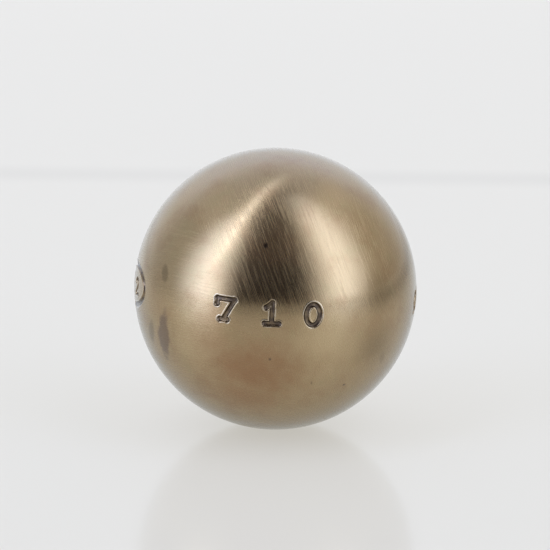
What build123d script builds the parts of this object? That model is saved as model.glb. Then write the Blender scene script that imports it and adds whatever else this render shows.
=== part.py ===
from build123d import *

import math
import os

# Petanque boule: a hollow steel ball made of two forged half shells and the weld that joins them.
# The weld runs round the ball in the XZ plane, so Y is the axis that every piece is turned about.
# The origin is the ball's centre. Lengths are millimetres, angles are degrees.

# The finished ball
OUTER_DIAMETER = 74.0
WALL = 6.265

# The spigot on the rear half shell, which centres the two halves and backs the weld
SPIGOT_WALL = 1.4
SPIGOT_REACH = 2.2
SPIGOT_LEAD_IN = 0.4
SPIGOT_SIDE_CLEARANCE = 0.05
SPIGOT_END_CLEARANCE = 0.25

# The flat faces that meet outside the spigot, and the U-shaped groove cut above them for the weld
BUTT_WIDTH = 0.9
GROOVE_FLOOR_WIDTH = 1.2
GROOVE_ROOT_RADIUS = 1.2
GROOVE_SIDE_ANGLE = 20.0

STEEL_DENSITY = 7.85e-3  # grams in a cubic millimetre

outer_radius = OUTER_DIAMETER / 2
cavity_radius = outer_radius - WALL
spigot_radius = cavity_radius + SPIGOT_WALL
socket_radius = spigot_radius + SPIGOT_SIDE_CLEARANCE
socket_depth = SPIGOT_REACH + SPIGOT_END_CLEARANCE
groove_floor_radius = socket_radius + BUTT_WIDTH


def point_on_ball(radius, axial):
    """The point of a ball of that radius, in the profile plane, at that distance along Y."""
    return (math.sqrt(radius**2 - axial**2), axial)


def groove_toe(root_end):
    """Where the groove's side, rising from the end of its root arc, leaves the outer surface."""
    angle = math.radians(GROOVE_SIDE_ANGLE)
    rise = (math.cos(angle), math.sin(angle))
    along = root_end[0] * rise[0] + root_end[1] * rise[1]
    left = outer_radius**2 - root_end[0] ** 2 - root_end[1] ** 2
    length = math.sqrt(along**2 + left) - along
    return (root_end[0] + length * rise[0], root_end[1] + length * rise[1])


def groove_points(side):
    """One side of the weld groove from its floor's middle outwards; side is +1 at the rear, -1 in front."""
    angle = math.radians(GROOVE_SIDE_ANGLE)
    middle_angle = (math.pi / 2 - angle) / 2
    floor_edge = GROOVE_FLOOR_WIDTH / 2
    root_centre = groove_floor_radius + GROOVE_ROOT_RADIUS

    def on_root(turn):
        return (
            root_centre - GROOVE_ROOT_RADIUS * math.cos(turn),
            floor_edge + GROOVE_ROOT_RADIUS * math.sin(turn),
        )

    root_end = on_root(math.pi / 2 - angle)
    points = {
        "floor_middle": (groove_floor_radius, 0.0),
        "floor_edge": (groove_floor_radius, floor_edge),
        "root_middle": on_root(middle_angle),
        "root_end": root_end,
        "toe": groove_toe(root_end),
    }
    return {name: (across, side * axial) for name, (across, axial) in points.items()}


def groove_edges(points):
    """The groove's root arc and sloping side, as edges from the floor's edge to the toe."""
    return [
        ThreePointArc(points["floor_edge"], points["root_middle"], points["root_end"]),
        Line(points["root_end"], points["toe"]),
    ]


def ball_arc(radius, start_axial, side):
    """The arc of a ball's profile from a distance along Y to the pole on that side."""
    start_angle = math.asin(start_axial / radius)
    middle_angle = (start_angle + side * math.pi / 2) / 2
    middle = (radius * math.cos(middle_angle), radius * math.sin(middle_angle))
    return ThreePointArc(point_on_ball(radius, start_axial), middle, (0.0, side * radius))


def turned(edges):
    """A solid turned about Y from the edges of its profile."""
    return revolve(make_face(edges), Axis.Y, 360)


def half_shell(side, mouth_axial, mouth_points):
    """A half shell whose cavity starts at mouth_axial and whose joint follows mouth_points to the groove."""
    groove = groove_points(side)
    joint = [point_on_ball(cavity_radius, mouth_axial), *mouth_points]
    joint += [groove["floor_middle"], groove["floor_edge"]]
    edges = [
        ball_arc(outer_radius, groove["toe"][1], side),
        Line((0.0, side * outer_radius), (0.0, side * cavity_radius)),
        ball_arc(cavity_radius, mouth_axial, side),
        Polyline(*joint),
        *groove_edges(groove),
    ]
    return turned(edges)


def rear_half_shell():
    """The half shell on +Y, with the spigot that reaches across the joint."""
    mouth_axial = -SPIGOT_REACH
    spigot = [
        (spigot_radius - SPIGOT_LEAD_IN, mouth_axial),
        (spigot_radius, mouth_axial + SPIGOT_LEAD_IN),
        (spigot_radius, 0.0),
    ]
    return half_shell(1, mouth_axial, spigot)


def front_half_shell():
    """The half shell on -Y, counterbored for the spigot."""
    mouth_axial = -socket_depth
    socket = [(socket_radius, mouth_axial), (socket_radius, 0.0)]
    return half_shell(-1, mouth_axial, socket)


def weld_bead():
    """The ring of weld metal that fills the groove and is turned flush with the ball."""
    rear = groove_points(1)
    front = groove_points(-1)
    edges = [
        Line(front["floor_edge"], rear["floor_edge"]),
        *groove_edges(rear),
        ThreePointArc(rear["toe"], (outer_radius, 0.0), front["toe"]),
        *groove_edges(front),
    ]
    return turned(edges)


pieces = {
    "front_half_shell": front_half_shell(),
    "rear_half_shell": rear_half_shell(),
    "weld_bead": weld_bead(),
}

os.makedirs("parts", exist_ok=True)
for name, solid in pieces.items():
    solid.label = name
    export_step(solid, f"parts/{name}.step")

mass = sum(solid.volume for solid in pieces.values()) * STEEL_DENSITY
print(f"mass {mass:.1f} g, weld {2 * groove_points(1)['toe'][1]:.2f} mm wide at the surface")
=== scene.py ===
"""Looks of a petanque boule: two brushed half shells with stamped figures and the flush weld between."""

import logging
import math
from dataclasses import dataclass
from enum import Enum
from functools import cached_property

import bmesh
import bpy
from mathutils import Matrix, Vector
from mathutils.kdtree import KDTree


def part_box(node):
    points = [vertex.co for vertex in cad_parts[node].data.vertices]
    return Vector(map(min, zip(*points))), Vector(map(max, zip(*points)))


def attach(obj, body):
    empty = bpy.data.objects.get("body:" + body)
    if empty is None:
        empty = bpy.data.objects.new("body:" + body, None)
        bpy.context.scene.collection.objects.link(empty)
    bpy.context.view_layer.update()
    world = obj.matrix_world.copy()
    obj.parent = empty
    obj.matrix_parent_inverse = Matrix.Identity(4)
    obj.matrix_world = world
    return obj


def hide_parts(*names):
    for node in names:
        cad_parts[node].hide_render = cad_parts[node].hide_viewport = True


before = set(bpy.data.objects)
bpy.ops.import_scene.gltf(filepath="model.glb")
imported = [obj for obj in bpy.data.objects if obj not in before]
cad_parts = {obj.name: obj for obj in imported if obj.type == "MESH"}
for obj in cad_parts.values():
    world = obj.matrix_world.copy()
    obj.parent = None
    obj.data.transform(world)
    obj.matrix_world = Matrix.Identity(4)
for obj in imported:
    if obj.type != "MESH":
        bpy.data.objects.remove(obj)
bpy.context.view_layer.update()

Colour = tuple[float, float, float, float]
Pair = tuple[float, float]
Socket = bpy.types.NodeSocket

LOG = logging.getLogger("boule")
BODY = "root"
MM = 0.001

# Frame of the photograph, and the ball's outline in it, in pixels.
PHOTO_SIZE = 550
BALL_CENTRE_PX = (274.95, 288.10)
BALL_RADIUS_PX = 141.0

BALL_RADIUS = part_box("rear_half_shell")[1][1]

# Steps of every turned mesh, so that the seams of neighbouring pieces match.
TURN_STEPS = 168
ROW_ANGLE = math.tau / TURN_STEPS
EDGE_ROW_ANGLE = math.radians(0.05)
MERGE_DISTANCE = 0.001 * MM
SHARP_ANGLE = math.radians(30.0)

# A punched stroke flares at its ends: by which share of its width, and how suddenly.
END_FLARE = 0.16
END_FLARE_POWER = 6


def heading(azimuth_deg: float, elevation_deg: float) -> Vector:
    """Unit vector from the ball's centre; azimuth 0 is -Y, 90 is +X.

    Args:
        azimuth_deg: Turn about Z.
        elevation_deg: Angle above the level plane.

    Returns:
        The direction in the row frame.
    """
    azimuth, elevation = math.radians(azimuth_deg), math.radians(elevation_deg)
    level = math.cos(elevation)
    return Vector((math.sin(azimuth) * level, -math.cos(azimuth) * level, math.sin(elevation)))


@dataclass(frozen=True)
class Viewpoint:
    """Where the photograph was taken from."""

    azimuth_deg: float = 45.0
    elevation_deg: float = 14.0
    distance: float = 1.0

    @property
    def toward(self) -> Vector:
        """Direction from the ball to the camera."""
        return heading(self.azimuth_deg, self.elevation_deg)

    @property
    def right(self) -> Vector:
        """Direction of the picture's right."""
        return heading(self.azimuth_deg + 90.0, 0.0)

    @property
    def up(self) -> Vector:
        """Direction of the picture's top."""
        return self.toward.cross(self.right)

    def in_picture(self, right: float, up: float) -> Vector:
        """Unit vector in the picture's plane, by its shares to the right and to the top."""
        return (self.right * right + self.up * up).normalized()

    def on_ball(self, across_px: float, down_px: float) -> Vector:
        """Unit vector to the place on the ball that the photograph shows at a pixel.

        Args:
            across_px: Pixels from the photograph's left side.
            down_px: Pixels from its top.

        Returns:
            The direction in the row frame.
        """
        across = (across_px - BALL_CENTRE_PX[0]) / BALL_RADIUS_PX
        up = (BALL_CENTRE_PX[1] - down_px) / BALL_RADIUS_PX
        near = math.sqrt(max(0.0, 1.0 - across * across - up * up))
        return self.right * across + self.up * up + self.toward * near


VIEW = Viewpoint()


class Half(Enum):
    """A half shell, by the side of the weld that it lies on along Y."""

    FRONT = -1
    REAR = 1


@dataclass(frozen=True)
class WeldJoint:
    """Section of the joint between the half shells, in the plane of radius and Y."""

    wall: float = 6.265 * MM
    spigot_wall: float = 1.4 * MM
    spigot_reach: float = 2.2 * MM
    spigot_lead_in: float = 0.4 * MM
    side_clearance: float = 0.05 * MM
    end_clearance: float = 0.25 * MM
    butt_width: float = 0.9 * MM
    floor_width: float = 1.2 * MM
    root_radius: float = 1.2 * MM
    side_angle: float = math.radians(20.0)
    root_steps: int = 4

    @property
    def cavity_radius(self) -> float:
        """Radius of the hollow."""
        return BALL_RADIUS - self.wall

    @property
    def spigot_radius(self) -> float:
        """Outer radius of the spigot."""
        return self.cavity_radius + self.spigot_wall

    @property
    def socket_radius(self) -> float:
        """Radius of the counterbore that the spigot enters."""
        return self.spigot_radius + self.side_clearance

    def groove(self, half: Half) -> list[Vector]:
        """Points of one side of the weld groove, from its floor's edge up to the ball's surface.

        Args:
            half: The half shell whose side it is.

        Returns:
            Points as (radius, Y).
        """
        floor_radius = self.socket_radius + self.butt_width
        root = Vector((floor_radius + self.root_radius, self.floor_width / 2))
        full_turn = math.pi / 2 - self.side_angle
        points = []
        for step in range(self.root_steps + 1):
            turn = full_turn * step / self.root_steps
            points.append(root + self.root_radius * Vector((-math.cos(turn), math.sin(turn))))
        rise = Vector((math.cos(self.side_angle), math.sin(self.side_angle)))
        along = points[-1].dot(rise)
        left = BALL_RADIUS**2 - points[-1].length_squared
        points.append(points[-1] + rise * (math.sqrt(along**2 + left) - along))
        return [Vector((point.x, half.value * point.y)) for point in points]

    def mouth(self, half: Half) -> list[Vector]:
        """Points of a half shell's mouth, from the hollow's edge out to the butt face.

        Args:
            half: The half shell.

        Returns:
            Points as (radius, Y); the rear half has the spigot, the front half its counterbore.
        """
        if half is Half.REAR:
            end = -self.spigot_reach
            rest = [
                Vector((self.spigot_radius - self.spigot_lead_in, end)),
                Vector((self.spigot_radius, end + self.spigot_lead_in)),
                Vector((self.spigot_radius, 0.0)),
            ]
        else:
            end = -self.spigot_reach - self.end_clearance
            rest = [Vector((self.socket_radius, end)), Vector((self.socket_radius, 0.0))]
        edge = Vector((math.sqrt(self.cavity_radius**2 - end**2), end))
        butt = Vector((self.socket_radius + self.butt_width, 0.0))
        return [edge, *rest, butt]


def arc_points(radius: float, start: float, end: float, step: float) -> list[Vector]:
    """Points of a ball's profile between two angles from the level of the weld.

    Args:
        radius: The ball's radius.
        start: First angle in radians, towards +Y.
        end: Last angle in radians.
        step: Largest angle between points.

    Returns:
        Points as (radius, Y), both ends included.
    """
    count = max(1, math.ceil(abs(end - start) / step))
    angles = [start + (end - start) * index / count for index in range(count + 1)]
    return [radius * Vector((math.cos(angle), math.sin(angle))) for angle in angles]


def turned_mesh(profile: list[Vector], closed: bool) -> bmesh.types.BMesh:
    """A mesh turned about Y from a profile.

    Args:
        profile: Points as (radius, Y).
        closed: Whether the last point joins the first.

    Returns:
        The new mesh, merged and with its normals outwards.
    """
    bm = bmesh.new()
    verts = [bm.verts.new((point.x, point.y, 0.0)) for point in profile]
    pairs = list(zip(verts, verts[1:]))
    if closed:
        pairs.append((verts[-1], verts[0]))
    edges = [bm.edges.new(pair) for pair in pairs]
    turn = {"axis": (0, 1, 0), "angle": math.tau, "steps": TURN_STEPS, "use_merge": True}
    bmesh.ops.spin(bm, geom=verts + edges, cent=(0, 0, 0), **turn)
    bmesh.ops.remove_doubles(bm, verts=bm.verts, dist=MERGE_DISTANCE)
    bmesh.ops.recalc_face_normals(bm, faces=bm.faces)
    return bm


def end_flare(share: float) -> float:
    """How much wider than a plain stroke a punched one is at a share of its length."""
    return 1.0 + END_FLARE * abs(2.0 * share - 1.0) ** END_FLARE_POWER


@dataclass(frozen=True)
class Run:
    """A straight stroke of a figure, in shares of the figure's height."""

    start: Pair
    end: Pair

    def at(self, share: float) -> Vector:
        """The stroke's point at a share of its length."""
        return Vector(self.start).lerp(Vector(self.end), share)

    def length(self) -> float:
        """The stroke's length."""
        return (Vector(self.end) - Vector(self.start)).length

    def swell(self, share: float) -> float:
        """How much wider the stroke is there than a plain one."""
        return end_flare(share)


@dataclass(frozen=True)
class Bow:
    """A round stroke of a figure, in shares of the figure's height."""

    centre: Pair
    radii: Pair
    start_deg: float = 0.0
    end_deg: float = 360.0

    def at(self, share: float) -> Vector:
        """The stroke's point at a share of its turn.

        Args:
            share: The share, from 0 to 1.

        Returns:
            The point in the figure's plane.
        """
        angle = math.radians(self.start_deg + (self.end_deg - self.start_deg) * share)
        offset = (self.radii[0] * math.cos(angle), self.radii[1] * math.sin(angle))
        return Vector(self.centre) + Vector(offset)

    def length(self) -> float:
        """About the stroke's length."""
        return max(self.radii) * math.radians(abs(self.end_deg - self.start_deg))

    def swell(self, share: float) -> float:
        """A round stroke keeps its width but for its free ends."""
        closed = abs(self.end_deg - self.start_deg) >= 360.0
        return 1.0 if closed else end_flare(share)


class Figure(Enum):
    """Punches for plain figures and an oval round them, as the strokes of their centre lines."""

    ZERO = (Bow((0.0, 0.0), (0.29, 0.43)),)
    ONE = (
        Run((0.02, 0.43), (0.02, -0.43)),
        Run((0.02, 0.43), (-0.22, 0.25)),
        Run((-0.27, -0.43), (0.31, -0.43)),
    )
    TWO = (
        Bow((0.0, 0.16), (0.27, 0.27), 165.0, -40.0),
        Run((0.207, -0.014), (-0.28, -0.43)),
        Run((-0.28, -0.43), (0.31, -0.43)),
    )
    FOUR = (
        Run((0.12, 0.43), (-0.36, -0.14)),
        Run((-0.36, -0.14), (0.38, -0.14)),
        Run((0.12, 0.43), (0.12, -0.43)),
        Run((-0.04, -0.43), (0.28, -0.43)),
    )
    SEVEN = (
        Run((-0.37, 0.42), (0.38, 0.42)),
        Run((-0.37, 0.42), (-0.37, 0.2)),
        Run((0.38, 0.42), (-0.06, -0.43)),
        Run((-0.2, -0.43), (0.1, -0.43)),
    )
    DIAMETER = (Bow((0.0, 0.0), (0.36, 0.38)), Run((-0.3, -0.46), (0.3, 0.46)))
    OVAL = (Bow((0.0, 0.0), (1.0, 0.5)),)


@dataclass(frozen=True)
class Punching:
    """A figure punched into the ball, at a turn from the camera's side along the ring of figures."""

    figure: Figure
    from_view_deg: float
    height: float
    stroke_width: float
    turn_deg: float = 0.0


@dataclass(frozen=True)
class FigureRing:
    """The great circle round the ball that the figures follow, a little off level."""

    lean_right: float = 0.06
    lean_away: float = 0.075

    @property
    def axis(self) -> Vector:
        """Unit vector square to the ring's plane."""
        away = heading(VIEW.azimuth_deg + 180.0, 0.0)
        return (Vector((0, 0, 1)) + VIEW.right * self.lean_right + away * self.lean_away).normalized()

    def place(self, punching: Punching) -> Matrix:
        """Axes of a punched figure: its right, its top and the way out of the ball.

        Args:
            punching: The figure and its place.

        Returns:
            A matrix with those three axes as columns.
        """
        level = heading(VIEW.azimuth_deg + punching.from_view_deg, 0.0)
        out = (level - self.axis * level.dot(self.axis)).normalized()
        turn = Matrix.Rotation(math.radians(punching.turn_deg), 3, out)
        top = turn @ self.axis
        return Matrix((top.cross(out), top, out)).transposed()


@dataclass(frozen=True)
class PunchSection:
    """Section of a punched stroke: its depth, sloping sides and raised lip."""

    depth: float = 0.55 * MM
    side_width: float = 0.45 * MM
    lip_height: float = 0.05 * MM
    lip_width: float = 0.38 * MM

    def recess(self, outside: float) -> float:
        """Share of the full depth, by sides between straight and rounded ones.

        Args:
            outside: Distance outside the stroke's edge, below zero inside it.

        Returns:
            0 at the surface, 1 at the floor.
        """
        straight = min(1.0, max(0.0, -outside / self.side_width))
        rounded = straight * (2.0 - straight)
        return rounded * 0.5 + straight * 0.5

    def lip(self, outside: float) -> float:
        """Share of the lip's full height at that distance outside the stroke's edge."""
        share = outside / self.lip_width
        return math.sin(math.pi * share) ** 2 if 0.0 < share < 1.0 else 0.0


class StrokeField:
    """The centre lines of all punched strokes, for finding how far a point lies from their edges."""

    spacing: float = 0.03 * MM

    def __init__(self, ring: FigureRing, punchings: list[Punching]) -> None:
        """Lay the strokes of the figures on the ball.

        Args:
            ring: The ring that the figures follow.
            punchings: The figures.
        """
        spots: list[Vector] = []
        self.half_widths: list[float] = []
        for punching in punchings:
            axes = ring.place(punching)
            for stroke in punching.figure.value:
                count = max(2, math.ceil(stroke.length() * punching.height / self.spacing))
                for index in range(count + 1):
                    share = index / count
                    flat = stroke.at(share) * punching.height
                    spots.append(self.wrap(axes, flat))
                    self.half_widths.append(punching.stroke_width / 2 * stroke.swell(share))
        self.tree = KDTree(len(spots))
        for index, spot in enumerate(spots):
            self.tree.insert(spot, index)
        self.tree.balance()

    @staticmethod
    def wrap(axes: Matrix, flat: Vector) -> Vector:
        """A point of a flat figure laid on the ball.

        Args:
            axes: The figure's axes.
            flat: Point in the figure's plane, in metres from its middle.

        Returns:
            The point on the ball.
        """
        angle = flat.length / BALL_RADIUS
        if angle == 0.0:
            return axes.col[2] * BALL_RADIUS
        along = (axes.col[0] * flat.x + axes.col[1] * flat.y).normalized()
        return (axes.col[2] * math.cos(angle) + along * math.sin(angle)) * BALL_RADIUS

    def outside(self, point: Vector) -> float:
        """Distance of a point outside the nearest stroke's edge, below zero inside it."""
        _, index, distance = self.tree.find(point)
        return distance - self.half_widths[index]


@dataclass
class HalfShell:
    """A half shell with its hollow, its joint and the figures punched into it."""

    half: Half
    joint: WeldJoint
    ring: FigureRing
    punchings: list[Punching]
    section: PunchSection = PunchSection()
    cavity_row_angle: float = math.radians(6.0)
    refine_reaches: tuple[float, ...] = (2.6 * MM, 1.6 * MM, 1.0 * MM, 0.65 * MM)

    @property
    def node(self) -> str:
        """Name of the solid that the half shell stands for."""
        return f"{self.half.name.lower()}_half_shell"

    def profile(self) -> list[Vector]:
        """The half shell's section, from the outer pole round the joint to the hollow's pole.

        Returns:
            Points as (radius, Y).
        """
        side = self.half.value
        pole = side * math.pi / 2
        groove = self.joint.groove(self.half)
        toe = math.atan2(groove[-1].y, groove[-1].x)
        near_toe = toe + side * EDGE_ROW_ANGLE
        mouth = self.joint.mouth(self.half)
        mouth_angle = math.atan2(mouth[0].y, mouth[0].x)
        outer = arc_points(BALL_RADIUS, pole, near_toe, ROW_ANGLE)
        hollow = arc_points(self.joint.cavity_radius, mouth_angle, pole, self.cavity_row_angle)
        return outer + groove[::-1] + mouth[::-1] + hollow[1:]

    def build(self) -> bpy.types.Object:
        """Model the half shell.

        Returns:
            Its object, at the origin.
        """
        bm = turned_mesh(self.profile(), closed=False)
        recess = bm.verts.layers.float.new("recess")
        lip = bm.verts.layers.float.new("lip")
        if self.punchings:
            strokes = StrokeField(self.ring, self.punchings)
            self.refine(bm, strokes)
            for vert in bm.verts:
                if vert.co.length > BALL_RADIUS - self.section.depth:
                    outside = strokes.outside(vert.co)
                    vert[recess] = self.section.recess(outside)
                    vert[lip] = self.section.lip(outside)
            for vert in bm.verts:
                rise = vert[lip] * self.section.lip_height - vert[recess] * self.section.depth
                vert.co += vert.co.normalized() * rise
        return finished_object(bm, f"{self.node}_surface")

    def refine(self, bm: bmesh.types.BMesh, strokes: StrokeField) -> None:
        """Divide the outer faces near the strokes, the nearer the finer, and keep them on the ball.

        Args:
            bm: The half shell's mesh.
            strokes: The punched strokes.
        """
        for reach in self.refine_reaches:
            edges = set()
            for face in bm.faces:
                middle = face.calc_center_median()
                if middle.length > BALL_RADIUS - self.section.depth and strokes.outside(middle) < reach:
                    edges.update(face.edges)
            made = bmesh.ops.subdivide_edges(bm, edges=list(edges), cuts=1, use_grid_fill=True)
            for item in made["geom_inner"]:
                if isinstance(item, bmesh.types.BMVert):
                    item.co = item.co.normalized() * BALL_RADIUS


@dataclass
class WeldBead:
    """The ring of weld metal in the groove, flush with the ball."""

    joint: WeldJoint
    node: str = "weld_bead"

    def profile(self) -> list[Vector]:
        """The bead's section, from the groove's front side over the cap to its rear side.

        Returns:
            Points as (radius, Y).
        """
        front, rear = self.joint.groove(Half.FRONT), self.joint.groove(Half.REAR)
        near_toe = math.atan2(rear[-1].y, rear[-1].x) - EDGE_ROW_ANGLE
        cap = arc_points(BALL_RADIUS, -near_toe, near_toe, ROW_ANGLE)
        return front + cap + rear[::-1]

    def build(self) -> bpy.types.Object:
        """Model the weld bead as an object at the origin."""
        bm = turned_mesh(self.profile(), closed=True)
        return finished_object(bm, f"{self.node}_surface")


def finished_object(bm: bmesh.types.BMesh, name: str) -> bpy.types.Object:
    """Turn a mesh under construction into an object in the scene, smooth but for its sharp edges.

    Args:
        bm: The mesh, which is freed.
        name: The object's name.

    Returns:
        The object.
    """
    for face in bm.faces:
        face.smooth = True
    for edge in bm.edges:
        edge.smooth = len(edge.link_faces) == 2 and edge.calc_face_angle() < SHARP_ANGLE
    mesh = bpy.data.meshes.new(name)
    bm.to_mesh(mesh)
    bm.free()
    piece = bpy.data.objects.new(name, mesh)
    bpy.context.scene.collection.objects.link(piece)
    return piece


class Wiring:
    """Adds nodes to a node tree and links their sockets."""

    noise_middle: float = 0.5

    def __init__(self, tree: bpy.types.NodeTree) -> None:
        """Start from an empty tree."""
        self.tree = tree
        self.tree.nodes.clear()

    def add(self, kind: str, inputs: dict | None = None, **settings: object) -> bpy.types.Node:
        """Add a node.

        Args:
            kind: The node's type name.
            inputs: Socket names or numbers, each with a value or the socket to link from.
            settings: Attributes of the node.

        Returns:
            The node.
        """
        node = self.tree.nodes.new(kind)
        for name, value in settings.items():
            setattr(node, name, value)
        for name, value in (inputs or {}).items():
            if isinstance(value, Socket):
                self.tree.links.new(value, node.inputs[name])
            else:
                node.inputs[name].default_value = value
        return node

    @cached_property
    def place(self) -> Socket:
        """The object coordinates."""
        return self.add("ShaderNodeTexCoord").outputs["Object"]

    def math(self, operation: str, first: object, second: object = 0.0) -> Socket:
        """The result of a Math node on two numbers or sockets."""
        return self.add("ShaderNodeMath", {0: first, 1: second}, operation=operation).outputs[0]

    def measure(self, operation: str, first: object, second: object = (0, 0, 0)) -> Socket:
        """The number that a Vector Math node gives for two vectors or sockets."""
        return self.add("ShaderNodeVectorMath", {0: first, 1: second}, operation=operation).outputs["Value"]

    def dot(self, place: Socket, direction: Vector) -> Socket:
        """How far a place lies along a direction."""
        return self.measure("DOT_PRODUCT", place, direction)

    def ramp(
        self, value: object, low: float, high: float, to_low: float = 0.0, to_high: float = 1.0
    ) -> Socket:
        """A smooth step of a value, from to_low at and before low up or down to to_high at and past high."""
        inputs = {"Value": value, "From Min": low, "From Max": high, "To Min": to_low, "To Max": to_high}
        return self.add("ShaderNodeMapRange", inputs, interpolation_type="SMOOTHSTEP").outputs["Result"]

    # A Mix node's sockets go by number: the share is 0, and each data type has its own pair.
    def mix(self, share: object, first: object, second: object) -> Socket:
        """A mix of two numbers, by a share from 0 to 1."""
        return self.add("ShaderNodeMix", {0: share, 2: first, 3: second}, data_type="FLOAT").outputs[0]

    def mix_vector(self, share: object, first: object, second: object) -> Socket:
        """A mix of two vectors, by a share from 0 to 1."""
        return self.add("ShaderNodeMix", {0: share, 4: first, 5: second}, data_type="VECTOR").outputs[1]

    def mix_colour(self, share: object, first: object, second: object) -> Socket:
        """A mix of two colours, by a share from 0 to 1."""
        return self.add("ShaderNodeMix", {0: share, 6: first, 7: second}, data_type="RGBA").outputs[2]

    def seen(self) -> Socket:
        """Tell what the camera sees from other light.

        Returns:
            Socket of 1 for what is seen straight, mirrored or through glass, and of 0 for other rays.
        """
        rays = self.add("ShaderNodeLightPath").outputs
        mirrored = self.math("MAXIMUM", rays["Is Glossy Ray"], rays["Is Transmission Ray"])
        return self.math("MAXIMUM", rays["Is Camera Ray"], mirrored)

    def noise(self, place: Socket, scale: float, detail: float = 2.0, rough: float = 0.5) -> Socket:
        """Noise from about 0.25 to 0.75, by its features in a unit of the place and its octaves."""
        inputs = {"Vector": place, "Scale": scale, "Detail": detail, "Roughness": rough}
        return self.add("ShaderNodeTexNoise", inputs).outputs["Fac"]


@dataclass(frozen=True)
class Grain:
    """Brush lines that run round an axis of the ball."""

    axis: Vector
    across: float
    along: float

    def lines(self, wiring: Wiring) -> Socket:
        """Noise drawn out along the lines.

        Args:
            wiring: The material's wiring.

        Returns:
            The noise's socket.
        """
        turn = Vector((1, 0, 0)).rotation_difference(self.axis).to_euler()
        sizes = (self.across, self.along, self.along)
        inputs = {"Vector": wiring.place, "Rotation": turn, "Scale": sizes}
        stretched = wiring.add("ShaderNodeMapping", inputs, vector_type="TEXTURE").outputs["Vector"]
        return wiring.noise(stretched, scale=1.0)


@dataclass(frozen=True)
class Clouding:
    """Soft clouds all over the ball, as shares between two values."""

    scale: float
    limits: Pair
    shares: Pair
    detail: float = 2.0
    rough: float = 0.5

    def mask(self, wiring: Wiring) -> Socket:
        """The clouds' share at each place."""
        noise = wiring.noise(wiring.place, self.scale, self.detail, self.rough)
        return wiring.ramp(noise, *self.limits, *self.shares)


@dataclass(frozen=True)
class TonePatch:
    """A patch on the ball whose tone differs, at a pixel of the photograph and upright as it shows there."""

    px: Pair
    half_mm: Pair
    strength: float
    soft: float = 1.0

    def mask(self, wiring: Wiring, wobble: Socket) -> Socket:
        """The patch's strength in its middle and 0 outside it.

        Args:
            wiring: The material's wiring.
            wobble: Socket of how far the patch's edge moves in, in shares of its size.

        Returns:
            The mask's socket.
        """
        out = VIEW.on_ball(*self.px).normalized()
        top = out.cross(VIEW.right).normalized()
        axes = Matrix((top.cross(out), top, out)).transposed()
        half_width, half_height = self.half_mm
        inputs = {
            "Vector": wiring.place,
            "Location": out * BALL_RADIUS,
            "Rotation": axes.to_euler(),
            "Scale": (half_width * MM, half_height * MM, BALL_RADIUS),
        }
        local = wiring.add("ShaderNodeMapping", inputs, vector_type="TEXTURE").outputs["Vector"]
        length = wiring.math("ADD", wiring.measure("LENGTH", local), wobble)
        return wiring.ramp(length, 1.0, 1.0 - self.soft, 0.0, self.strength)


@dataclass(frozen=True)
class TarnishAndShade:
    """Patches of one tone with uneven edges, for discolouring and, in places, painted shade."""

    tone: Colour
    uneven: float
    uneven_scale: float
    tone_patches: tuple[TonePatch, ...]
    uneven_detail: float = 4.0

    def over(self, wiring: Wiring, colour: Socket) -> Socket:
        """Lay the patches over a colour.

        Args:
            wiring: The material's wiring.
            colour: Socket of the colour.

        Returns:
            Socket of the new colour.
        """
        noise = wiring.noise(wiring.place, self.uneven_scale, self.uneven_detail)
        wobble = wiring.math("SUBTRACT", noise, wiring.noise_middle)
        wobble = wiring.math("MULTIPLY", wobble, self.uneven)
        total = self.tone_patches[0].mask(wiring, wobble)
        for stain in self.tone_patches[1:]:
            total = wiring.math("MAXIMUM", total, stain.mask(wiring, wobble))
        return wiring.mix_colour(total, colour, self.tone)


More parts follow.
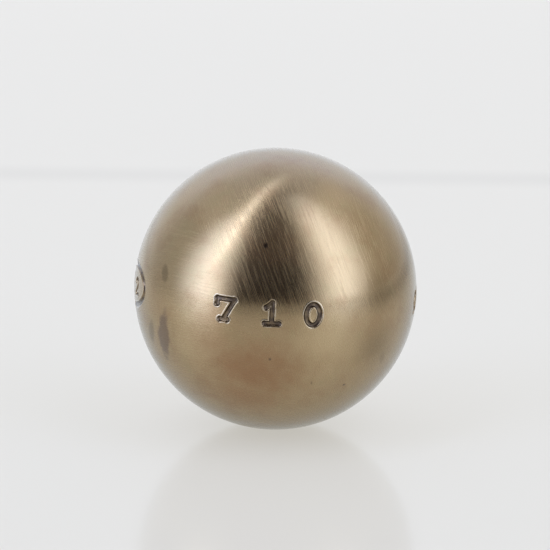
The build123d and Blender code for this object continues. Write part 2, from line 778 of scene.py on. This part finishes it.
@dataclass(frozen=True)
class BrushedBronze:
    """Satin bronze-brown steel: brushed one way and then another, tarnished, pitted, dark in its figures,
    with painted shade on its sides and a highlight partly painted on the figures' lips.
    """

    name: str = "brushed_bronze_steel"
    bronze: Colour = (0.435, 0.317, 0.176, 1.0)
    ruddy: Colour = (0.33, 0.195, 0.098, 1.0)
    olive: Colour = (0.4, 0.317, 0.168, 1.0)
    oxide: Colour = (0.105, 0.075, 0.053, 1.0)
    # Colour of the figures' raised lips: partly worn metal, partly a painted highlight.
    bare_metal_and_highlight: Colour = (0.6, 0.53, 0.43, 1.0)
    edge_tint: Colour = (0.85, 0.925, 1.0, 1.0)
    line_limits: Pair = (0.45, 0.65)
    line_roughness: Pair = (0.21, 0.315)
    line_relief: float = 0.45
    line_depth: float = 0.02 * MM
    line_grime: float = 0.08
    figure_roughness: float = 0.36
    figure_grime: Pair = (0.0, 0.3)
    anisotropy: float = 0.5
    oil_film: float = 0.5
    oil_roughness: float = 0.15
    ruddy_clouds: Clouding = Clouding(150.0, (0.45, 0.7), (0.0, 0.35), detail=4.0, rough=0.6)
    olive_clouds: Clouding = Clouding(210.0, (0.45, 0.7), (0.0, 0.45), detail=4.0, rough=0.6)
    figure_patches: Clouding = Clouding(700.0, (0.35, 0.6), (0.6, 1.0))
    # Patchy share of the lips' lighter colour: wear and painted highlight.
    lip_wear_and_highlight: Clouding = Clouding(500.0, (0.4, 0.6), (0.15, 1.0))
    upright: Grain = Grain(VIEW.in_picture(right=0.94, up=0.34), across=0.2 * MM, along=6.5 * MM)
    level: Grain = Grain(VIEW.in_picture(right=0.21, up=1.0), across=0.22 * MM, along=7.0 * MM)
    second_pass_toward: Pair = (-0.8, -0.45)
    second_pass_limits: Pair = (0.33, 0.5)
    second_pass_ragged: float = 0.3
    second_pass_scale: float = 90.0
    rubbed: TarnishAndShade = TarnishAndShade(
        (0.54, 0.41, 0.235, 1.0),
        uneven=0.6,
        uneven_scale=140.0,
        tone_patches=(
            TonePatch(px=(325, 341), half_mm=(13.0, 14.0), strength=0.9),
            TonePatch(px=(195, 337), half_mm=(11.0, 12.0), strength=0.75),
        ),
    )
    heated: TarnishAndShade = TarnishAndShade(
        (0.33, 0.19, 0.094, 1.0),
        uneven=0.6,
        uneven_scale=330.0,
        tone_patches=(
            TonePatch(px=(254, 368), half_mm=(20.0, 14.0), strength=1.0),
            TonePatch(px=(216, 340), half_mm=(12.0, 11.0), strength=0.5),
            TonePatch(px=(300, 362), half_mm=(10.0, 9.0), strength=0.25),
            TonePatch(px=(247, 392), half_mm=(16.0, 11.0), strength=0.75),
        ),
    )
    # Darker brown patches: partly painted shade on the ball's sides, partly small darker marks.
    browned_and_painted_shade: TarnishAndShade = TarnishAndShade(
        (0.275, 0.197, 0.104, 1.0),
        uneven=0.4,
        uneven_scale=140.0,
        tone_patches=(
            # The first three are painted shade on the ball's sides; the last three are small darker marks.
            TonePatch(px=(373, 343), half_mm=(9.0, 9.0), strength=0.8),
            TonePatch(px=(377, 290), half_mm=(7.0, 8.0), strength=0.7),
            TonePatch(px=(159, 290), half_mm=(6.5, 8.0), strength=0.2),
            TonePatch(px=(166.8, 273), half_mm=(1.6, 2.9), strength=1.0, soft=0.45),
            TonePatch(px=(152.6, 330), half_mm=(2.0, 4.6), strength=1.0, soft=0.6),
            TonePatch(px=(379.6, 354), half_mm=(1.5, 3.4), strength=0.6, soft=0.6),
        ),
    )
    handled: TarnishAndShade = TarnishAndShade(
        (0.19, 0.13, 0.09, 1.0),
        uneven=0.9,
        uneven_scale=330.0,
        tone_patches=(
            TonePatch(px=(165.2, 334), half_mm=(2.8, 8.2), strength=0.8, soft=0.45),
        ),
    )
    pitted: TarnishAndShade = TarnishAndShade(
        (0.06, 0.042, 0.032, 1.0),
        uneven=0.9,
        uneven_scale=900.0,
        tone_patches=(
            TonePatch(px=(265.5, 246.3), half_mm=(0.8, 0.95), strength=1.0, soft=0.7),
            TonePatch(px=(342, 382), half_mm=(0.55, 0.4), strength=0.7, soft=0.7),
            TonePatch(px=(269.6, 356), half_mm=(0.45, 0.5), strength=0.6, soft=0.7),
            TonePatch(px=(310, 380), half_mm=(0.35, 0.9), strength=0.4, soft=0.7),
        ),
    )

    def material(self) -> bpy.types.Material:
        """Make the material.

        Returns:
            The material, which reads object coordinates and the attributes recess and lip.
        """
        material = bpy.data.materials.new(self.name)
        material.use_nodes = True
        wiring = Wiring(material.node_tree)
        second_pass = self.second_pass(wiring)
        lines = wiring.mix(second_pass, self.upright.lines(wiring), self.level.lines(wiring))
        recess = wiring.add("ShaderNodeAttribute", attribute_name="recess").outputs["Fac"]
        lip = wiring.add("ShaderNodeAttribute", attribute_name="lip").outputs["Fac"]
        relief = {"Strength": self.line_relief, "Distance": self.line_depth, "Height": lines}
        bump = wiring.add("ShaderNodeBump", relief)
        rough = wiring.ramp(lines, *self.line_limits, *self.line_roughness)
        rough = wiring.mix(recess, rough, self.figure_roughness)
        inputs = {
            "Base Color": self.colour(wiring, lines, recess, lip),
            "Metallic": 1.0,
            "Roughness": rough,
            "Specular Tint": self.edge_tint,
            "Normal": bump.outputs["Normal"],
            "Anisotropic": self.anisotropy,
            "Coat Weight": self.oil_film,
            "Coat Roughness": self.oil_roughness,
            "Tangent": wiring.mix_vector(second_pass, self.upright.axis, self.level.axis),
        }
        shader = wiring.add("ShaderNodeBsdfPrincipled", inputs)
        wiring.add("ShaderNodeOutputMaterial", {"Surface": shader.outputs["BSDF"]})
        return material

    def second_pass(self, wiring: Wiring) -> Socket:
        """Where the level brush lines of the second pass lie over the upright ones of the first.

        Args:
            wiring: The material's wiring.

        Returns:
            Socket of a share from 0 to 1.
        """
        reach = wiring.dot(wiring.place, VIEW.in_picture(*self.second_pass_toward))
        reach = wiring.math("DIVIDE", reach, BALL_RADIUS)
        ragged = wiring.noise(wiring.place, self.second_pass_scale)
        ragged = wiring.math("MULTIPLY", ragged, self.second_pass_ragged)
        return wiring.ramp(wiring.math("ADD", reach, ragged), *self.second_pass_limits)

    def colour(self, wiring: Wiring, lines: Socket, recess: Socket, lip: Socket) -> Socket:
        """The metal's colour with its clouds, tarnished patches and pits, painted shade on its sides, the
        grime in its figures and their lighter lips, partly worn metal and partly a painted highlight.

        Args:
            wiring: The material's wiring.
            lines: Socket of the brush lines.
            recess: Socket of the figures' depth.
            lip: Socket of the figures' raised lips.

        Returns:
            The colour's socket.
        """
        colour = wiring.mix_colour(self.olive_clouds.mask(wiring), self.bronze, self.olive)
        colour = wiring.mix_colour(self.ruddy_clouds.mask(wiring), colour, self.ruddy)
        in_lines = wiring.ramp(lines, *self.line_limits, self.line_grime, 0.0)
        colour = wiring.mix_colour(in_lines, colour, self.oxide)
        for toning in (self.rubbed, self.heated, self.browned_and_painted_shade, self.handled, self.pitted):
            colour = toning.over(wiring, colour)
        grime = wiring.ramp(recess, *self.figure_grime)
        grime = wiring.math("MULTIPLY", grime, self.figure_patches.mask(wiring))
        colour = wiring.mix_colour(grime, colour, self.oxide)
        # The lips lighter: partly worn metal, partly a painted highlight.
        bared_and_highlight = wiring.math("MULTIPLY", lip, self.lip_wear_and_highlight.mask(wiring))
        return wiring.mix_colour(bared_and_highlight, colour, self.bare_metal_and_highlight)


class TentWiring(Wiring):
    """Wiring of the tent's material, with the direction in which a point lies, seen from the ball."""

    def __init__(self, tree: bpy.types.NodeTree) -> None:
        """Start from an empty tree, with sockets for the direction's parts.

        Args:
            tree: The material's node tree.
        """
        super().__init__(tree)
        out = self.add("ShaderNodeVectorMath", {0: self.place}, operation="NORMALIZE").outputs["Vector"]
        self.across = self.dot(out, VIEW.right)
        self.near = self.dot(out, heading(VIEW.azimuth_deg, 0.0))
        self.high = self.dot(out, Vector((0, 0, 1)))

    def turn(self, side: int, lean: object = 0.0) -> Socket:
        """Turn from the camera's side of the tent, in degrees.

        Args:
            side: -1 to turn to the left, 1 to turn to the right.
            lean: Number or socket added to the nearness.

        Returns:
            The turn's socket.
        """
        sideways = self.math("MULTIPLY", self.across, float(side))
        near = self.math("ADD", self.near, lean)
        return self.math("DEGREES", self.math("ARCTAN2", sideways, near))


@dataclass(frozen=True)
class PanelEdge:
    """An upright edge of a bright panel: where it fades, from the camera's side, and how it leans back."""

    fade_deg: Pair
    lean: float
    lean_from: float

    def passed(self, tent: TentWiring, side: int) -> Socket:
        """Share from 0 before the edge to 1 past it.

        Args:
            tent: The tent material's wiring.
            side: -1 for the tent's left side, 1 for its right.

        Returns:
            The share's socket.
        """
        over = tent.math("MAXIMUM", tent.math("SUBTRACT", tent.high, self.lean_from), 0.0)
        turn = tent.turn(side, tent.math("MULTIPLY", over, self.lean))
        return tent.ramp(turn, *self.fade_deg)


@dataclass(frozen=True)
class TentSide:
    """A side of the light tent: a bright panel between upright edges, in cloth that its light spills on."""

    side: int
    inner: PanelEdge
    outer: PanelEdge
    top_fade: Pair
    glow_fade: Pair
    low_glow: Colour
    high_glow: Colour
    edge_glow: Colour
    low_cloth: Colour
    high_cloth: Colour
    cloth_fade: Pair
    rear_deg: Pair
    spill_cloth: Colour
    spill_high: Pair = (0.56, 0.74)
    spill_aside: Pair = (0.3, 0.5)

    def cloth(self, tent: TentWiring, rear_cloth: Socket) -> Socket:
        """Colour of the plain cloth, from its foot to its top and round to the rear.

        Args:
            tent: The tent material's wiring.
            rear_cloth: Socket of the colour of the cloth behind the ball.

        Returns:
            The colour's socket.
        """
        upward = tent.ramp(tent.high, *self.cloth_fade)
        rearward = tent.ramp(tent.turn(self.side), *self.rear_deg)
        cloth = tent.mix_colour(upward, self.low_cloth, self.high_cloth)
        return tent.mix_colour(rearward, cloth, rear_cloth)

    def hang(self, tent: TentWiring, cloth: Socket, glow: Socket) -> Socket:
        """Lay the panel, and the cloth beyond it, over the glow so far.

        Args:
            tent: The tent material's wiring.
            cloth: Socket of the cloth's colour on this side.
            glow: Socket of the glow so far.

        Returns:
            Socket of the new glow.
        """
        aside = tent.math("MULTIPLY", tent.across, float(self.side))
        spill = tent.ramp(aside, *self.spill_aside)
        spill = tent.math("MULTIPLY", spill, tent.ramp(tent.high, *self.spill_high))
        cloth = tent.mix_colour(spill, cloth, self.spill_cloth)
        begun = self.inner.passed(tent, self.side)
        ended = self.outer.passed(tent, self.side)
        ended = tent.math("MAXIMUM", ended, tent.ramp(tent.high, *self.top_fade))
        panel = tent.mix_colour(tent.ramp(tent.high, *self.glow_fade), self.low_glow, self.high_glow)
        panel = tent.mix_colour(begun, self.edge_glow, panel)
        return tent.mix_colour(begun, glow, tent.mix_colour(ended, panel, cloth))


@dataclass(frozen=True)
class CeilingStrip:
    """A narrow strip, bright or dim, that curves over the tent's ceiling, in shares of its height."""

    middle: Pair = (-2.656, -1.765)
    radius: float = 3.0
    half_width: float = 0.065
    rear_fade: Pair = (-0.65, 0.4)
    front_fade: Pair = (0.75, 0.35)
    low_fade: Pair = (0.3, 0.5)
    glow: Colour = (5.95, 6.4, 7.6, 1.0)

    def lay(self, tent: TentWiring, glow: Socket) -> Socket:
        """Lay the strip over the glow so far.

        Args:
            tent: The tent material's wiring.
            glow: Socket of the glow so far.

        Returns:
            Socket of the new glow.
        """
        height = tent.math("MAXIMUM", tent.high, self.low_fade[0])
        across = tent.math("DIVIDE", tent.across, height)
        near = tent.math("DIVIDE", tent.near, height)
        spot = tent.add("ShaderNodeCombineXYZ", {0: across, 1: near}).outputs["Vector"]
        reach = tent.measure("DISTANCE", spot, (*self.middle, 0.0))
        offset = tent.math("ABSOLUTE", tent.math("SUBTRACT", reach, self.radius))
        share = tent.ramp(offset, self.half_width, 0.0)
        share = tent.math("MULTIPLY", share, tent.ramp(tent.high, *self.low_fade))
        for fade in (self.rear_fade, self.front_fade):
            share = tent.math("MULTIPLY", share, tent.ramp(tent.near, *fade))
        return tent.mix_colour(share, glow, self.glow)


@dataclass(frozen=True)
class TentGlow:
    """How the light tent glows: a dark opening on the camera's side, a panel to each side, plain cloth."""

    low_opening: Colour = (0.038, 0.034, 0.038, 1.0)
    high_opening: Colour = (0.1, 0.083, 0.083, 1.0)
    opening_fade: Pair = (0.35, 0.75)
    low_rear_cloth: Colour = (0.95, 0.96, 1.0, 1.0)
    high_rear_cloth: Colour = (0.97, 1.03, 1.25, 1.0)
    rear_fade: Pair = (0.3, 0.6)
    top_cloth: Colour = (0.665, 0.7, 0.81, 1.0)
    top_from: Pair = (0.6, 0.95)
    left: TentSide = TentSide(
        side=-1,
        inner=PanelEdge((29.0, 66.0), lean=0.34, lean_from=0.75),
        outer=PanelEdge((47.0, 96.0), lean=-0.1, lean_from=0.4),
        top_fade=(0.72, 1.0),
        glow_fade=(0.0, 0.3),
        low_glow=(3.6, 4.2, 5.75, 1.0),
        high_glow=(3.2, 3.75, 5.2, 1.0),
        edge_glow=(3.75, 3.85, 4.3, 1.0),
        low_cloth=(0.55, 0.57, 0.6, 1.0),
        high_cloth=(0.6, 0.62, 0.65, 1.0),
        cloth_fade=(0.0, 0.35),
        rear_deg=(110.0, 150.0),
        spill_cloth=(0.75, 0.77, 0.83, 1.0),
    )
    right: TentSide = TentSide(
        side=1,
        inner=PanelEdge((20.5, 63.0), lean=0.32, lean_from=0.75),
        outer=PanelEdge((48.0, 90.0), lean=0.18, lean_from=0.0),
        top_fade=(0.88, 1.02),
        glow_fade=(0.5, 0.95),
        low_glow=(2.75, 3.1, 3.9, 1.0),
        high_glow=(2.3, 2.55, 3.2, 1.0),
        edge_glow=(2.6, 2.65, 2.8, 1.0),
        low_cloth=(0.57, 0.54, 0.495, 1.0),
        high_cloth=(0.68, 0.66, 0.61, 1.0),
        cloth_fade=(0.0, 0.5),
        rear_deg=(118.0, 164.0),
        spill_cloth=(0.9, 0.9, 0.92, 1.0),
    )
    gap: CeilingStrip = CeilingStrip(
        radius=3.19,
        half_width=0.17,
        rear_fade=(-0.4, -0.12),
        front_fade=(0.25, 0.0),
        glow=(0.3, 0.31, 0.36, 1.0),
    )
    strip: CeilingStrip = CeilingStrip()

    def material(self) -> bpy.types.Material:
        """Make the tent's glowing material.

        Returns:
            The material, which reads the direction from the ball as object coordinates.
        """
        material = bpy.data.materials.new("tent_glow")
        material.use_nodes = True
        tent = TentWiring(material.node_tree)
        ceiling = tent.ramp(tent.high, *self.top_from)
        up_opening = tent.ramp(tent.high, *self.opening_fade)
        glow = tent.mix_colour(up_opening, self.low_opening, self.high_opening)
        up_rear = tent.ramp(tent.high, *self.rear_fade)
        rear = tent.mix_colour(up_rear, self.low_rear_cloth, self.high_rear_cloth)
        for side in (self.left, self.right):
            cloth = tent.mix_colour(ceiling, side.cloth(tent, rear), self.top_cloth)
            glow = side.hang(tent, cloth, glow)
        for strip in (self.gap, self.strip):
            glow = strip.lay(tent, glow)
        emission = tent.add("ShaderNodeEmission", {"Color": glow, "Strength": 1.0})
        tent.add("ShaderNodeOutputMaterial", {"Surface": emission.outputs["Emission"]})
        return material


@dataclass
class Studio:
    """The pale floor, the tent of soft light and the camera."""

    floor_radius: float = 2.5
    floor_segments: int = 96
    floor_colour: Colour = (0.2, 0.2, 0.2, 1.0)
    floor_glow_colour: Colour = (1.0, 0.98, 0.912, 1.0)
    floor_glow: Pair = (0.525, 0.432)
    floor_fade: Pair = (-0.25, 0.75)
    side_glow: float = 0.08
    side_fade: Pair = (0.1, 0.4)
    left_share: float = 0.5
    # Painted shadow of the ball on the floor's glow, at its foot.
    foot_shade: float = 0.93
    foot_fade: Pair = (0.005, 0.045)
    # Painted shade of a crease, as a darker line across the floor's glow.
    crease_behind: float = 0.3026
    crease_tilt: float = 0.0525
    crease_half_width: float = 0.018
    crease_shade: float = 0.91
    front_glow: float = 0.18
    front_fade: Pair = (-0.12, -0.75)
    floor_roughness: float = 0.13
    floor_specular: float = 0.1
    backdrop_colour: Colour = (0.8, 0.8, 0.8, 1.0)
    tent_radius: float = 2.0
    tent_segments: tuple[int, int] = (48, 24)
    tent_foot: float = -0.02
    glow: TentGlow = TentGlow()
    sensor_width_mm: float = 36.0

    def build(self) -> None:
        """Build the whole studio."""
        self.lay_floor()
        self.pitch_tent()
        self.hang_backdrop()
        self.place_camera()

    def lay_floor(self) -> None:
        """Lay a pale glossy floor under the ball, whose own glow is seen but lights nothing."""
        bm = bmesh.new()
        bmesh.ops.create_circle(bm, cap_ends=True, segments=self.floor_segments, radius=self.floor_radius)
        bmesh.ops.translate(bm, verts=bm.verts, vec=(0, 0, -BALL_RADIUS))
        floor = finished_object(bm, "floor")
        material = bpy.data.materials.new("pale_floor")
        material.use_nodes = True
        wiring = Wiring(material.node_tree)
        inputs = {
            "Base Color": self.floor_colour,
            "Roughness": self.floor_roughness,
            "Specular IOR Level": self.floor_specular,
            "Emission Color": self.floor_glow_colour,
            "Emission Strength": wiring.math("MULTIPLY", self.floor_strength(wiring), wiring.seen()),
        }
        shader = wiring.add("ShaderNodeBsdfPrincipled", inputs)
        wiring.add("ShaderNodeOutputMaterial", {"Surface": shader.outputs["BSDF"]})
        floor.data.materials.append(material)

    def floor_strength(self, wiring: Wiring) -> Socket:
        """Strength of the floor's glow, weaker in front and to the sides, with a painted shadow at the ball's
        foot and painted shade along a crease.

        Args:
            wiring: The floor material's wiring.

        Returns:
            The strength's socket.
        """
        behind = wiring.dot(wiring.place, heading(VIEW.azimuth_deg + 180.0, 0.0))
        right = wiring.dot(wiring.place, VIEW.right)
        aside = wiring.math("MAXIMUM", right, wiring.math("MULTIPLY", right, -self.left_share))
        glow = wiring.ramp(behind, *self.floor_fade, *self.floor_glow)
        glow = wiring.mix(wiring.ramp(behind, *self.front_fade), glow, self.front_glow)
        glow = wiring.mix(wiring.ramp(aside, *self.side_fade), glow, self.side_glow)
        # Painted shadow: the floor's glow dims round the ball's foot.
        away = wiring.measure("DISTANCE", wiring.place, (0, 0, -BALL_RADIUS))
        glow = wiring.math("MULTIPLY", glow, wiring.ramp(away, *self.foot_fade, self.foot_shade, 1.0))
        # Painted shade: a faint darker line across the floor behind the ball, as a crease in a backdrop.
        leaning = wiring.math("ADD", behind, wiring.math("MULTIPLY", right, self.crease_tilt))
        off_crease = wiring.math("ABSOLUTE", wiring.math("SUBTRACT", leaning, self.crease_behind))
        crease = wiring.ramp(off_crease, 0.0, self.crease_half_width, self.crease_shade, 1.0)
        return wiring.math("MULTIPLY", glow, crease)

    def pitch_tent(self) -> None:
        """Pitch a round light tent over the ball, which the camera looks through."""
        bm = bmesh.new()
        round_about, upward = self.tent_segments
        bmesh.ops.create_uvsphere(bm, u_segments=round_about, v_segments=upward, radius=self.tent_radius)
        below = [vert for vert in bm.verts if vert.co.z < self.tent_foot]
        bmesh.ops.delete(bm, geom=below, context="VERTS")
        tent = finished_object(bm, "light_tent")
        tent.data.materials.append(self.glow.material())
        tent.visible_camera = False

    def hang_backdrop(self) -> None:
        """Make everything beyond the tent plain and pale."""
        world = bpy.data.worlds.new("backdrop")
        world.use_nodes = True
        wiring = Wiring(world.node_tree)
        cloth = wiring.add("ShaderNodeBackground", {"Color": self.backdrop_colour, "Strength": 1.0})
        wiring.add("ShaderNodeOutputWorld", {"Surface": cloth.outputs["Background"]})
        bpy.context.scene.world = world

    def place_camera(self) -> None:
        """Place the camera so that the ball lies in its frame as in the photograph."""
        outline = math.tan(math.asin(BALL_RADIUS / VIEW.distance))
        half_frame = outline * PHOTO_SIZE / 2 / BALL_RADIUS_PX
        pixel = BALL_RADIUS / BALL_RADIUS_PX
        middle = (PHOTO_SIZE - 1) / 2
        across = (middle - BALL_CENTRE_PX[0]) * pixel
        up = (BALL_CENTRE_PX[1] - middle) * pixel
        data = bpy.data.cameras.new("photo_camera")
        data.sensor_width = self.sensor_width_mm
        data.lens = self.sensor_width_mm / 2 / half_frame
        camera = bpy.data.objects.new("photo_camera", data)
        camera.location = VIEW.toward * VIEW.distance + VIEW.right * across + VIEW.up * up
        camera.rotation_euler = VIEW.toward.to_track_quat("Z", "Y").to_euler()
        bpy.context.scene.collection.objects.link(camera)
        bpy.context.scene.camera = camera


FIGURE_HEIGHT = 6.2 * MM
FIGURE_STROKE = 1.4 * MM
SIDE_FIGURE_HEIGHT = 5.8 * MM
SIDE_FIGURE_STROKE = 1.25 * MM
OVAL_HEIGHT = 10.6 * MM
OVAL_STROKE = 1.5 * MM
OVAL_FIGURE_HEIGHT = 4.6 * MM
OVAL_FIGURE_STROKE = 1.0 * MM

# The mass in grams faces the camera and a number in an oval lies to its left, both on the front half shell.
FRONT_PUNCHINGS = [
    Punching(Figure.SEVEN, -20.5, FIGURE_HEIGHT, FIGURE_STROKE, turn_deg=-1.0),
    Punching(Figure.ONE, -1.8, FIGURE_HEIGHT, FIGURE_STROKE, turn_deg=1.0),
    Punching(Figure.ZERO, 14.8, FIGURE_HEIGHT, FIGURE_STROKE),
    Punching(Figure.OVAL, -83.2, OVAL_HEIGHT, OVAL_STROKE),
    Punching(Figure.ONE, -88.8, OVAL_FIGURE_HEIGHT, OVAL_FIGURE_STROKE),
    Punching(Figure.TWO, -77.3, OVAL_FIGURE_HEIGHT, OVAL_FIGURE_STROKE),
]
# The diameter in millimetres lies to the right, past the weld, on the rear half shell.
REAR_PUNCHINGS = [
    Punching(Figure.DIAMETER, 81.5, SIDE_FIGURE_HEIGHT, SIDE_FIGURE_STROKE),
    Punching(Figure.SEVEN, 94.5, SIDE_FIGURE_HEIGHT, SIDE_FIGURE_STROKE),
    Punching(Figure.FOUR, 106.5, SIDE_FIGURE_HEIGHT, SIDE_FIGURE_STROKE),
]


def main() -> None:
    """Build the boule's pieces in order, dress them and set up the studio."""
    logging.basicConfig(level=logging.INFO, format="%(name)s: %(message)s")
    bpy.context.scene.view_settings.view_transform = "Standard"
    joint, ring = WeldJoint(), FigureRing()
    steel = BrushedBronze().material()
    parts = [
        (HalfShell(Half.FRONT, joint, ring, FRONT_PUNCHINGS), "shell_steel"),
        (HalfShell(Half.REAR, joint, ring, REAR_PUNCHINGS), "shell_steel"),
        (WeldBead(joint), "weld_steel"),
    ]
    for part, slot in parts:
        piece = part.build()
        piece.data.materials.append(steel)
        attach(piece, BODY)
        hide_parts(part.node)
        LOG.info("%s: %d faces", piece.name, len(piece.data.polygons))
    Studio().build()


if __name__ == "__main__":
    main()
